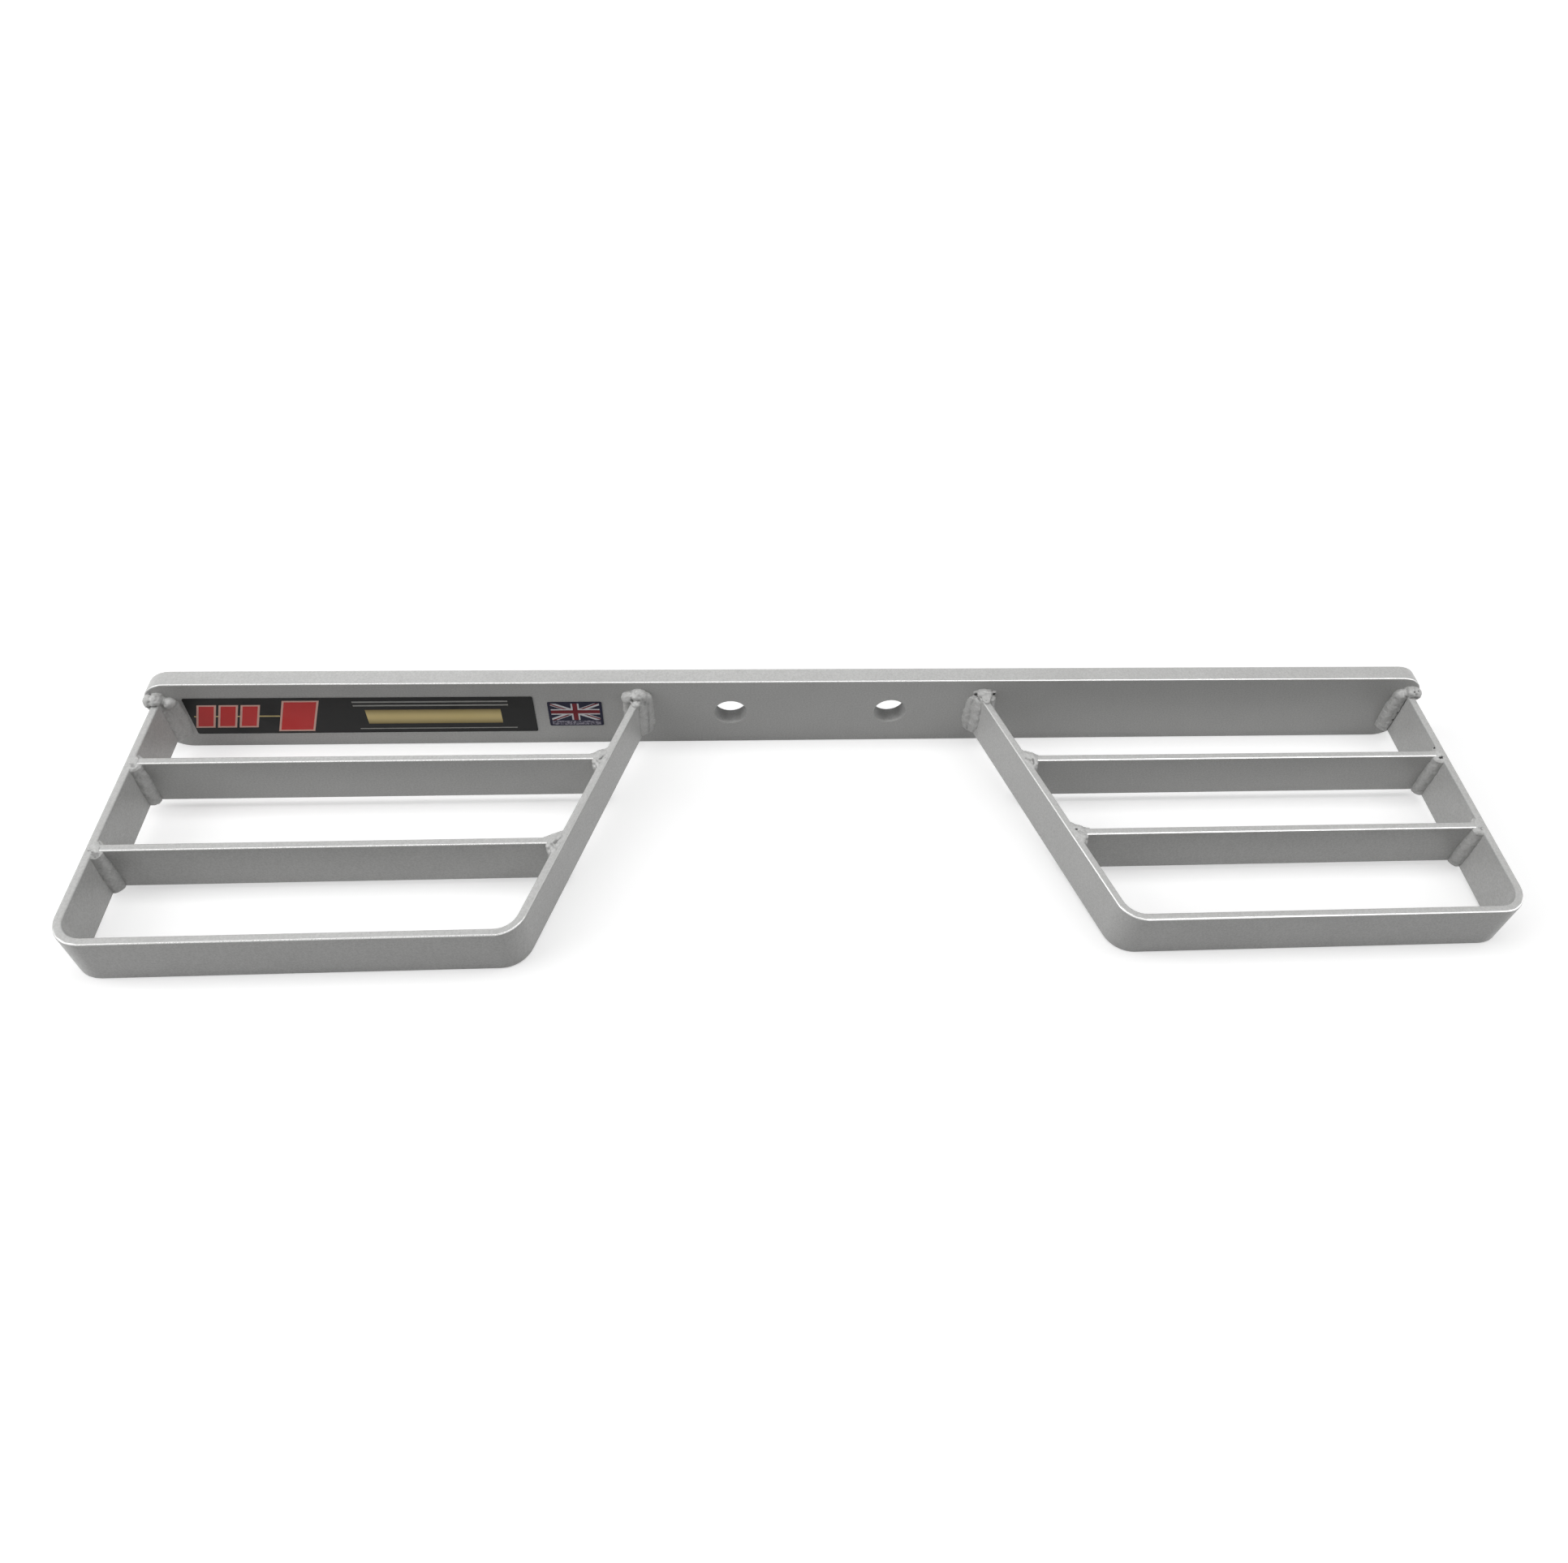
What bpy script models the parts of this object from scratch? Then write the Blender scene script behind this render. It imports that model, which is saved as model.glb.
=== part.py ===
"""Towbar mounted double step, welded from flat steel bar and strip, painted silver.

A flat back bar is clamped between a towbar and its tow ball by two bolts. Two step frames, each one
strip bent to a U, are welded to the bar's front face with a gap between them for the tow ball. Each
frame carries two slats on edge. Nothing moves.

Frame: origin at the middle of the bar's rear face, +X along the bar, +Y towards the vehicle, +Z up.
"""
import math

import bmesh
import bpy
from mathutils import Matrix, Vector

# Driving sizes, in metres. A shift is how far a slat sits nearer the bar than even bays would put it.
BAR_LENGTH = 0.710
BAR_HEIGHT = 0.050
BAR_THICKNESS = 0.010
BAR_CORNER_RADIUS = 0.014
BAR_EDGE_ROUND = 0.0010
BOLT_SPACING = 0.090
BOLT_DIAMETER = 0.016
BOLT_CLEARANCE = 0.002

STRIP_HEIGHT = 0.030
STRIP_THICKNESS = 0.004
STRIP_EDGE_ROUND = 0.0008
STEP_DEPTH = 0.147
BAR_END_MARGIN = 0.006
BALL_GAP_AT_BAR = 0.186
BALL_GAP_AT_FRONT = 0.287
BEND_RADIUS = 0.015
LEFT_REAR_SLAT_SHIFT = 0.0044
FRONT_SLAT_SHIFT = 0.001

# Pieces that touch are modelled this far apart.
FIT_GAP = 0.0003

# Weld beads: how far a bead spreads over the face it joins, and along the strip that ends there.
CENTRE_BEAD = (0.0055, 0.0070)
BAY_BEAD = (0.0065, 0.0065)
END_BEAD = (0.0045, 0.0060)
WIDE_BEAD = (0.0080, 0.0110)
OVER_BEAD = (0.0050, 0.0070)
SLAT_FRONT_BEAD = (0.0050, 0.0055)
SLAT_REAR_BEAD = (0.0042, 0.0050)
SLAT_TOP_BEAD = (0.0007, 0.0030)
BEAD_LUMP = 0.07
BEAD_ROUNDNESS = 1.15

# Stickers on the left half of the bar's front face.
STICKER_THICKNESS = 0.0002
STICKER_GAP = 0.0001
STICKER_CORNER = 0.0010
LABEL_WIDTH = 0.183
LABEL_HEIGHT = 0.0286
LABEL_FROM_WELD = 0.0005
FLAG_WIDTH = 0.0295
FLAG_HEIGHT = 0.0195
FLAG_FROM_LABEL = 0.0073

# Facets.
CORNER_STEPS = 8
BORE_STEPS = 32
BEAD_SIDE_STEPS = 10
BEAD_TURN_STEPS = 4
BEAD_TOP_STEPS = 2
BEAD_ARC_STEPS = 4
LUMP_EVERY = 3.4
SMOOTH_BELOW = math.radians(40.0)

# Places that follow from the sizes.
BAR_FACE_Y = -BAR_THICKNESS
BORE_DIAMETER = BOLT_DIAMETER + BOLT_CLEARANCE
STRIP_TOP = STRIP_HEIGHT / 2.0
OUTER_FACE_X = BAR_LENGTH / 2.0 - BAR_END_MARGIN
INNER_FACE_AT_BAR = BALL_GAP_AT_BAR / 2.0
INNER_FACE_AT_FRONT = BALL_GAP_AT_FRONT / 2.0
FRONT_FACE_Y = BAR_FACE_Y - STEP_DEPTH
BAY_CLEAR = (STEP_DEPTH - 3.0 * STRIP_THICKNESS) / 3.0

STEEL_GREY = (0.46, 0.46, 0.45, 1.0)
WELD_GREY = (0.50, 0.50, 0.49, 1.0)
LABEL_BLACK = (0.015, 0.015, 0.017, 1.0)
FLAG_BLUE = (0.02, 0.05, 0.22, 1.0)


def clear_scene():
    for item in list(bpy.data.objects):
        bpy.data.objects.remove(item, do_unlink=True)


def new_collection(name):
    group = bpy.data.collections.new(name)
    bpy.context.scene.collection.children.link(group)
    return group


def new_mount_point(name):
    """The empty that every piece hangs on, at the middle of the bar's rear face."""
    empty = bpy.data.objects.new(name, None)
    STEP.objects.link(empty)
    return empty


def paint(name, colour, roughness, metallic):
    material = bpy.data.materials.new(name)
    material.use_nodes = True
    shader = material.node_tree.nodes["Principled BSDF"]
    shader.inputs["Base Color"].default_value = colour
    shader.inputs["Roughness"].default_value = roughness
    shader.inputs["Metallic"].default_value = metallic
    return material


def steel_paint(name):
    return paint(name + "_paint", STEEL_GREY, 0.40, 0.6)


def weld_paint(name):
    return paint(name + "_paint", WELD_GREY, 0.45, 0.6)


def add_node(name, mesh, material):
    """Put a finished mesh into the step, carried by the empty at the bar's mounting point."""
    mesh.materials.clear()
    mesh.materials.append(material)
    mesh.shade_smooth()
    mesh.set_sharp_from_angle(angle=SMOOTH_BELOW)
    node = bpy.data.objects.new(name, mesh)
    node.parent = MOUNT_POINT
    STEP.objects.link(node)
    return node


def stand_up(node, middle):
    """Turn a plate that was drawn in plan to face the front, with its middle at the given place."""
    node.rotation_euler = (math.radians(90.0), 0.0, 0.0)
    node.location = middle


def round_edges(node, width):
    bevel = node.modifiers.new("edge_round", "BEVEL")
    bevel.width = width
    bevel.segments = 2
    bevel.limit_method = "ANGLE"
    bevel.angle_limit = SMOOTH_BELOW


def plate_mesh(name, outline, thickness):
    """Extrude a closed plan outline evenly about the plan, then join the end faces' triangles."""
    curve = bpy.data.curves.new(name + "_outline", "CURVE")
    curve.dimensions = "2D"
    curve.fill_mode = "BOTH"
    curve.extrude = thickness / 2.0
    spline = curve.splines.new("POLY")
    spline.points.add(len(outline) - 1)
    for point, place in zip(spline.points, outline):
        point.co = (place[0], place[1], 0.0, 1.0)
    spline.use_cyclic_u = True
    source = bpy.data.objects.new(name + "_outline", curve)
    bpy.context.scene.collection.objects.link(source)
    depsgraph = bpy.context.evaluated_depsgraph_get()
    mesh = bpy.data.meshes.new_from_object(source.evaluated_get(depsgraph))
    bpy.data.objects.remove(source, do_unlink=True)
    work = bmesh.new()
    work.from_mesh(mesh)
    bmesh.ops.remove_doubles(work, verts=work.verts, dist=0.000001)
    flat_edges = [edge for edge in work.edges if edge.calc_face_angle(1.0) < 0.001]
    bmesh.ops.dissolve_edges(work, edges=flat_edges, use_verts=False)
    bmesh.ops.recalc_face_normals(work, faces=work.faces)
    work.to_mesh(mesh)
    work.free()
    mesh.name = name
    return mesh


def meet(point_a, along_a, point_b, along_b):
    """Where two plan lines cross."""
    cross = along_a.x * along_b.y - along_a.y * along_b.x
    apart = point_b - point_a
    reach = (apart.x * along_b.y - apart.y * along_b.x) / cross
    return point_a + along_a * reach


def rounded_corner(before, corner, after, radius):
    """Points of the arc that rounds one corner of a plan outline."""
    way_in = (before - corner).normalized()
    way_out = (after - corner).normalized()
    half_angle = way_in.angle(way_out) / 2.0
    middle = corner + (way_in + way_out).normalized() * radius / math.sin(half_angle)
    start = corner + way_in * radius / math.tan(half_angle) - middle
    sweep = start.angle_signed(corner + way_out * radius / math.tan(half_angle) - middle)
    points = []
    for step in range(CORNER_STEPS + 1):
        turned = start.copy()
        turned.rotate(Matrix.Rotation(-sweep * step / CORNER_STEPS, 2))
        points.append(middle + turned)
    return points


def rounded_rectangle(width, height, radius):
    x = width / 2.0
    y = height / 2.0
    corners = [Vector((x, y)), Vector((-x, y)), Vector((-x, -y)), Vector((x, -y))]
    points = []
    for place, corner in enumerate(corners):
        points += rounded_corner(corners[place - 1], corner, corners[(place + 1) % 4], radius)
    return points


class SidePlan:
    """Plan lines of one step frame. side is +1 for the right frame and -1 for the left one."""

    def __init__(self, side):
        self.side = side
        self.outer_x = side * OUTER_FACE_X
        self.slat_in_x = side * (OUTER_FACE_X - STRIP_THICKNESS)
        self.inner_at_bar = Vector((side * INNER_FACE_AT_BAR, BAR_FACE_Y))
        inner_at_front = Vector((side * INNER_FACE_AT_FRONT, FRONT_FACE_Y))
        self.lean = (inner_at_front - self.inner_at_bar).normalized()
        self.bayward = Vector((-side * self.lean.y, side * self.lean.x))
        self.bay_face = self.inner_at_bar + self.bayward * STRIP_THICKNESS

    def cross_inner_face(self, y, off_face):
        """Where the line at depth y meets the inner strip's bay face, moved off by off_face."""
        level = Vector((0.0, y))
        return meet(self.bay_face + self.bayward * off_face, self.lean, level, Vector((1.0, 0.0)))


def frame_outline(plan):
    """One strip bent to a U: the outside faces from end to end, then the inside faces back."""
    end_y = BAR_FACE_Y - FIT_GAP
    across = Vector((1.0, 0.0))
    outside = [
        Vector((plan.outer_x, end_y)),
        Vector((plan.outer_x, FRONT_FACE_Y)),
        Vector((plan.side * INNER_FACE_AT_FRONT, FRONT_FACE_Y)),
        meet(plan.inner_at_bar, plan.lean, Vector((0.0, end_y)), across),
    ]
    back_y = FRONT_FACE_Y + STRIP_THICKNESS
    inside = [
        Vector((plan.slat_in_x, end_y)),
        Vector((plan.slat_in_x, back_y)),
        meet(plan.bay_face, plan.lean, Vector((0.0, back_y)), across),
        meet(plan.bay_face, plan.lean, Vector((0.0, end_y)), across),
    ]
    outline = [outside[0]]
    outline += rounded_corner(outside[0], outside[1], outside[2], BEND_RADIUS)
    outline += rounded_corner(outside[1], outside[2], outside[3], BEND_RADIUS)
    outline += [outside[3], inside[3]]
    outline += rounded_corner(inside[3], inside[2], inside[1], BEND_RADIUS - STRIP_THICKNESS)
    outline += rounded_corner(inside[2], inside[1], inside[0], BEND_RADIUS - STRIP_THICKNESS)
    outline.append(inside[0])
    return outline


def add_back_bar():
    outline = rounded_rectangle(BAR_LENGTH, BAR_HEIGHT, BAR_CORNER_RADIUS)
    mesh = plate_mesh("back_bar", outline, BAR_THICKNESS)
    bar = add_node("back_bar", mesh, steel_paint("back_bar"))
    stand_up(bar, (0.0, BAR_FACE_Y / 2.0, 0.0))
    for name, side in (("left_bolt_bore", -1), ("right_bolt_bore", 1)):
        bpy.ops.mesh.primitive_cylinder_add(
            vertices=BORE_STEPS,
            radius=BORE_DIAMETER / 2.0,
            depth=BAR_THICKNESS * 3.0,
            location=(side * BOLT_SPACING / 2.0, BAR_FACE_Y / 2.0, 0.0),
            rotation=(math.radians(90.0), 0.0, 0.0),
        )
        cutter = bpy.context.object
        cutter.name = name
        for group in list(cutter.users_collection):
            group.objects.unlink(cutter)
        CUTTERS.objects.link(cutter)
        cutter.hide_render = True
        cutter.display_type = "WIRE"
        bore = bar.modifiers.new(name, "BOOLEAN")
        bore.operation = "DIFFERENCE"
        bore.solver = "EXACT"
        bore.object = cutter
    round_edges(bar, BAR_EDGE_ROUND)


def add_frame(name, plan):
    mesh = plate_mesh(name, frame_outline(plan), STRIP_HEIGHT)
    frame = add_node(name, mesh, steel_paint(name))
    round_edges(frame, STRIP_EDGE_ROUND)


def add_slat(name, plan, back_y):
    """A strip on edge between the frame's two sides, its inner end cut to the slanting side."""
    front_y = back_y - STRIP_THICKNESS
    end_x = plan.slat_in_x - plan.side * FIT_GAP
    outline = [
        Vector((end_x, back_y)),
        plan.cross_inner_face(back_y, FIT_GAP),
        plan.cross_inner_face(front_y, FIT_GAP),
        Vector((end_x, front_y)),
    ]
    slat = add_node(name, plate_mesh(name, outline, STRIP_HEIGHT), steel_paint(name))
    round_edges(slat, STRIP_EDGE_ROUND)


def bead_stations(roots, edges, spreads, legs):
    """Places along a bead that climbs one corner, crosses the strip's top and goes down the other.

    Each station is the corner that the bead fills, the way it spreads there, and its two legs.
    """
    up = Vector((0.0, 0.0, 1.0))
    side_a, over, side_b = [Vector(pair) for pair in legs]
    lift = Vector((0.0, 0.0, STRIP_TOP))
    climb_a = []
    turn_a = []
    climb_b = []
    turn_b = []
    for climb, turn, root, edge, spread, leg in (
        (climb_a, turn_a, roots[0], edges[0], spreads[0], side_a),
        (climb_b, turn_b, roots[1], edges[1], spreads[1], side_b),
    ):
        for step in range(BEAD_SIDE_STEPS):
            height = -STRIP_TOP + STRIP_HEIGHT * step / BEAD_SIDE_STEPS
            climb.append((root + Vector((0.0, 0.0, height)), spread, leg))
        for step in range(BEAD_TURN_STEPS + 1):
            turned = math.radians(90.0) * step / BEAD_TURN_STEPS
            corner = edge + (root - edge) * math.cos(turned) + up * FIT_GAP * math.sin(turned)
            way = (spread * math.cos(turned) + up * math.sin(turned)).normalized()
            turn.append((corner + lift, way, leg.lerp(over, step / BEAD_TURN_STEPS)))
    top = []
    for step in range(1, BEAD_TOP_STEPS):
        place = edges[0].lerp(edges[1], step / BEAD_TOP_STEPS) + lift + up * FIT_GAP
        top.append((place, up, over))
    return climb_a + turn_a + top + turn_b[::-1] + climb_b[::-1]


def bead_mesh(name, stations, along, phase):
    """Loft a lumpy convex bead through its stations, with the ends drawn in."""
    work = bmesh.new()
    rings = []
    last = len(stations) - 1
    for place, (corner, spread, leg) in enumerate(stations):
        swell = 1.0 + BEAD_LUMP * math.sin(2.0 * math.pi * place / LUMP_EVERY + phase)
        swell *= 1.0 - 0.35 * math.exp(-min(place, last - place))
        ring = [work.verts.new(corner)]
        for step in range(BEAD_ARC_STEPS + 1):
            angle = math.radians(90.0) * step / BEAD_ARC_STEPS
            out = leg.x * swell * math.cos(angle) ** BEAD_ROUNDNESS
            off = leg.y * swell * math.sin(angle) ** BEAD_ROUNDNESS
            ring.append(work.verts.new(corner + spread * out + along * off))
        rings.append(ring)
    count = len(rings[0])
    for ring, following in zip(rings, rings[1:]):
        for place in range(count):
            after = (place + 1) % count
            work.faces.new((ring[place], ring[after], following[after], following[place]))
    work.faces.new(rings[0][::-1])
    work.faces.new(rings[-1])
    bmesh.ops.recalc_face_normals(work, faces=work.faces)
    mesh = bpy.data.meshes.new(name)
    work.to_mesh(mesh)
    work.free()
    return mesh


def add_weld(name, host_point, host_way, host_normal, faces, along, legs, phase):
    """Weld the end of a strip to a host face.

    faces holds a plan point and an outward normal for each side face of the strip that ends here.
    """
    host_edge = host_point + host_normal * FIT_GAP
    roots = []
    edges = []
    spreads = []
    for point, normal in faces:
        roots.append(meet(host_edge, host_way, point + normal * FIT_GAP, along).to_3d())
        edges.append(meet(host_edge, host_way, point, along).to_3d())
        spread = host_way if host_way.dot(normal) > 0.0 else -host_way
        spreads.append(spread.to_3d())
    stations = bead_stations(roots, edges, spreads, legs)
    add_node(name, bead_mesh(name, stations, along.to_3d(), phase), weld_paint(name))


def add_bar_welds(prefix, plan, inside_legs, phase):
    """The two welds that hold one frame's ends to the bar's front face."""
    bar_point = Vector((0.0, BAR_FACE_Y))
    bar_way = Vector((1.0, 0.0))
    forward = Vector((0.0, -1.0))
    outward = Vector((plan.side, 0.0))
    outer_faces = [
        (Vector((plan.slat_in_x, BAR_FACE_Y)), -outward),
        (Vector((plan.outer_x, BAR_FACE_Y)), outward),
    ]
    outer_legs = (inside_legs, OVER_BEAD, END_BEAD)
    add_weld(prefix + "_outer_bar_weld", bar_point, bar_way, forward, outer_faces, forward, outer_legs, phase)
    inner_faces = [(plan.inner_at_bar, -plan.bayward), (plan.bay_face, plan.bayward)]
    inner_legs = (CENTRE_BEAD, OVER_BEAD, BAY_BEAD)
    add_weld(prefix + "_inner_bar_weld", bar_point, bar_way, forward, inner_faces, plan.lean, inner_legs, -phase)


def add_slat_welds(prefix, plan, back_y, phase):
    """The welds at a slat's two ends, one on the frame's outer side and one on its inner side."""
    rearward = Vector((0.0, 1.0))
    inward = Vector((-plan.side, 0.0))
    front_y = back_y - STRIP_THICKNESS
    faces = [(Vector((0.0, front_y)), -rearward), (Vector((0.0, back_y)), rearward)]
    legs = (SLAT_FRONT_BEAD, SLAT_TOP_BEAD, SLAT_REAR_BEAD)
    outer_point = Vector((plan.slat_in_x, 0.0))
    add_weld(prefix + "_outer_weld", outer_point, rearward, inward, faces, inward, legs, phase)
    add_weld(prefix + "_inner_weld", plan.bay_face, plan.lean, plan.bayward, faces, -inward, legs, -phase)


def add_sticker(name, width, height, middle_x, material):
    mesh = plate_mesh(name, rounded_rectangle(width, height, STICKER_CORNER), STICKER_THICKNESS)
    sticker = add_node(name, mesh, material)
    stand_up(sticker, (middle_x, BAR_FACE_Y - STICKER_GAP - STICKER_THICKNESS / 2.0, 0.0))


def add_stickers():
    widest = WIDE_BEAD[0] * (1.0 + BEAD_LUMP)
    label_left = -OUTER_FACE_X + STRIP_THICKNESS + FIT_GAP + widest + LABEL_FROM_WELD
    flag_left = label_left + LABEL_WIDTH + FLAG_FROM_LABEL
    black = paint("label_vinyl", LABEL_BLACK, 0.35, 0.0)
    blue = paint("flag_vinyl", FLAG_BLUE, 0.35, 0.0)
    add_sticker("maker_label", LABEL_WIDTH, LABEL_HEIGHT, label_left + LABEL_WIDTH / 2.0, black)
    add_sticker("flag_sticker", FLAG_WIDTH, FLAG_HEIGHT, flag_left + FLAG_WIDTH / 2.0, blue)


def add_step(prefix, side, rear_shift, outer_inside_legs, phase):
    """One step: its bent frame, its two slats and the six welds that hold them."""
    plan = SidePlan(side)
    add_frame(prefix + "_frame", plan)
    add_bar_welds(prefix, plan, outer_inside_legs, phase)
    rear_y = BAR_FACE_Y - BAY_CLEAR + rear_shift
    front_y = BAR_FACE_Y - 2.0 * BAY_CLEAR - STRIP_THICKNESS + FRONT_SLAT_SHIFT
    for row, back_y in (("rear", rear_y), ("front", front_y)):
        add_slat(prefix + "_" + row + "_slat", plan, back_y)
        add_slat_welds(prefix + "_" + row, plan, back_y, phase)


clear_scene()
STEP = new_collection("towbar_step")
CUTTERS = new_collection("cutters")
MOUNT_POINT = new_mount_point("mount_point")
add_back_bar()
add_step("left", -1, LEFT_REAR_SLAT_SHIFT, WIDE_BEAD, 0.6)
add_step("right", 1, 0.0, BAY_BEAD, 2.1)
add_stickers()
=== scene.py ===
import math

import bmesh
import bpy
from mathutils import Matrix, Vector, noise


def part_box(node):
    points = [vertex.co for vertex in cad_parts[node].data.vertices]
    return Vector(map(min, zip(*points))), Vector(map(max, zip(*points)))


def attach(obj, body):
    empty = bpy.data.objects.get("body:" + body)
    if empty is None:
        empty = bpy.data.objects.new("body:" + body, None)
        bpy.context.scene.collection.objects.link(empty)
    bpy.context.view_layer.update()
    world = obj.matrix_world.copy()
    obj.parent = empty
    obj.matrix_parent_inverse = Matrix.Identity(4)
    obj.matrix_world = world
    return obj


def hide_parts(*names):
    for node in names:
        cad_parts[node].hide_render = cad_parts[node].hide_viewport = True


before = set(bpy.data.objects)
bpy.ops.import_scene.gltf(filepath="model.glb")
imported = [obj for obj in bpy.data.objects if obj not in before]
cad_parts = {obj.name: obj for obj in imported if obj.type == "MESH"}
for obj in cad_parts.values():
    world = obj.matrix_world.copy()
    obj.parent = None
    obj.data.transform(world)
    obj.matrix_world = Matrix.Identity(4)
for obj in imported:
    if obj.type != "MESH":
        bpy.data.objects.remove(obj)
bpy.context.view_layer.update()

MM = 0.001

# Photograph: frame size in pixels, and the camera solved from the bar's and strips' straight edges.
# The camera's place is in metres and its turns are in degrees.
PHOTO_WIDTH = 1932.0
PHOTO_HEIGHT = 1926.0
FOCAL_PIXELS = 1412.8
AXIS_PIXEL = (1014.5, 807.5)
CAMERA_PLACE = (-0.0477, -0.4356, 0.4863)
CAMERA_YAW = 6.995
CAMERA_PITCH = -45.768
CAMERA_ROLL = 4.845
SENSOR_WIDTH = 36.0

# Steel sizes, in metres, as the solids have them.
BAR_FACE_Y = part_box("back_bar")[0].y
BAR_BOTTOM_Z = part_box("back_bar")[0].z
STEP_FRONT_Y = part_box("left_frame")[0].y
STRIP_BOTTOM_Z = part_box("left_frame")[0].z
STRIP_TOP_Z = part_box("left_frame")[1].z
STRIP_THICKNESS = 0.004
OUTER_FACE_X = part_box("right_frame")[1].x
OUTER_BAY_X = OUTER_FACE_X - STRIP_THICKNESS
CENTRE_FACE_AT_BAR = 0.0930
CENTRE_FACE_AT_FRONT = 0.1435
LEAN_RUN = (CENTRE_FACE_AT_FRONT - CENTRE_FACE_AT_BAR, STEP_FRONT_Y - BAR_FACE_Y, 0.0)
LEAN = Vector(LEAN_RUN).normalized()
BAY_FACE_AT_BAR = CENTRE_FACE_AT_BAR + STRIP_THICKNESS / abs(LEAN.y)
STEEL_PIECES = ("back_bar", "left_frame", "right_frame", "left_rear_slat", "left_front_slat",
                "right_rear_slat", "right_front_slat")


def place_camera():
    """Stand the camera where the photograph was taken, its lens axis off the picture's middle."""
    yaw = math.radians(CAMERA_YAW)
    pitch = math.radians(CAMERA_PITCH)
    flat = math.cos(pitch)
    ahead = Vector((math.sin(yaw) * flat, math.cos(yaw) * flat, math.sin(pitch)))
    level = Vector((math.cos(yaw), -math.sin(yaw), 0.0))
    upright = level.cross(ahead)
    turn = math.radians(CAMERA_ROLL)
    right = level * math.cos(turn) + upright * math.sin(turn)
    up = upright * math.cos(turn) - level * math.sin(turn)
    lens = bpy.data.cameras.new("photo_camera")
    lens.sensor_fit = "HORIZONTAL"
    lens.sensor_width = SENSOR_WIDTH
    lens.lens = FOCAL_PIXELS / PHOTO_WIDTH * SENSOR_WIDTH
    lens.shift_x = (PHOTO_WIDTH / 2.0 - AXIS_PIXEL[0]) / PHOTO_WIDTH
    lens.shift_y = (AXIS_PIXEL[1] - PHOTO_HEIGHT / 2.0) / PHOTO_WIDTH
    camera = bpy.data.objects.new("photo_camera", lens)
    bpy.context.scene.collection.objects.link(camera)
    turned = Matrix((right, up, -ahead)).transposed().to_4x4()
    camera.matrix_world = Matrix.Translation(CAMERA_PLACE) @ turned
    bpy.context.scene.camera = camera


# ---- nodes ----

# Sockets of a Mix node that is set to colours.
MIX_UNDER = 6
MIX_OVER = 7
MIX_RESULT = 2


def add(tree, kind, wires=None, **settings):
    """Place a node, set it, and wire or set its inputs."""
    made = tree.nodes.new(kind)
    for name, value in settings.items():
        setattr(made, name, value)
    for socket, value in (wires or {}).items():
        if isinstance(value, bpy.types.NodeSocket):
            tree.links.new(value, made.inputs[socket])
        else:
            made.inputs[socket].default_value = value
    return made


def calc(tree, operation, *values):
    """A Math node over sockets and numbers."""
    return add(tree, "ShaderNodeMath", dict(enumerate(values)), operation=operation).outputs[0]


def ramp(tree, value, start, end, low=0.0, high=1.0, **settings):
    """Low where the value is at start, high where it is at end, and held there beyond."""
    wires = {0: value, 1: start, 2: end, 3: low, 4: high}
    return add(tree, "ShaderNodeMapRange", wires, **settings).outputs[0]


def cloud(tree, place, scale, detail):
    """Soft noise around a half."""
    wires = {"Vector": place, "Scale": scale, "Detail": detail}
    return add(tree, "ShaderNodeTexNoise", wires).outputs[0]


def object_place(tree):
    """The place on the piece itself, in metres."""
    return add(tree, "ShaderNodeTexCoord").outputs["Object"]


def split(tree, vector):
    """The X, Y and Z of a vector."""
    return add(tree, "ShaderNodeSeparateXYZ", {0: vector}).outputs


def blend_colour(tree, mask, under, over, **settings):
    """Lay one colour over another by a mask."""
    wires = {"Factor": mask, MIX_UNDER: under, MIX_OVER: over}
    return add(tree, "ShaderNodeMix", wires, data_type="RGBA", **settings).outputs[MIX_RESULT]


def new_group(name, inputs, outputs):
    """A shader node group with named sockets: its tree, its input node and its output node."""
    tree = bpy.data.node_groups.new(name, "ShaderNodeTree")
    for socket, value in inputs.items():
        made = tree.interface.new_socket(name=socket, in_out="INPUT", socket_type="NodeSocketFloat")
        made.default_value = value
    for socket in outputs:
        tree.interface.new_socket(name=socket, in_out="OUTPUT", socket_type="NodeSocketFloat")
    return tree, tree.nodes.new("NodeGroupInput"), tree.nodes.new("NodeGroupOutput")


def use_group(tree, group, **values):
    """Place a group in a material with its own values."""
    made = tree.nodes.new("ShaderNodeGroup")
    made.node_tree = group
    for socket, value in values.items():
        made.inputs[socket.replace("_", " ")].default_value = value
    return made.outputs


def new_material(name):
    """A material with its node tree and its main shader."""
    material = bpy.data.materials.new(name)
    material.use_nodes = True
    tree = material.node_tree
    return material, tree, tree.nodes["Principled BSDF"]


def raise_surface(tree, shader, height, strength, distance):
    """Bump the shader's surface by a height."""
    wires = {"Height": height, "Strength": strength, "Distance": distance}
    tree.links.new(add(tree, "ShaderNodeBump", wires).outputs[0], shader.inputs["Normal"])


# ---- effects shared by materials ----

NOISE_MIDDLE = 0.5
FLAKE_SCALE = 1100.0
FLAKE_DETAIL = 2.0
FLAKE_HEIGHT = 0.25
DRIFT_SCALE = 38.0
DRIFT_DETAIL = 4.0
PEEL_SCALE = 620.0
PEEL_DETAIL = 2.0

SMUDGE_DETAIL = 3.0
SMUDGE_RANGE = (0.52, 0.72)
SMUDGE_SHARE = 0.7
RUB_STRETCH = (0.09, 1.0, 1.0)
RUB_SCALE = 900.0
RUB_DETAIL = 1.0
RUB_RANGE = (0.66, 0.74)

WAVE_DETAIL = 2.0


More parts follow.
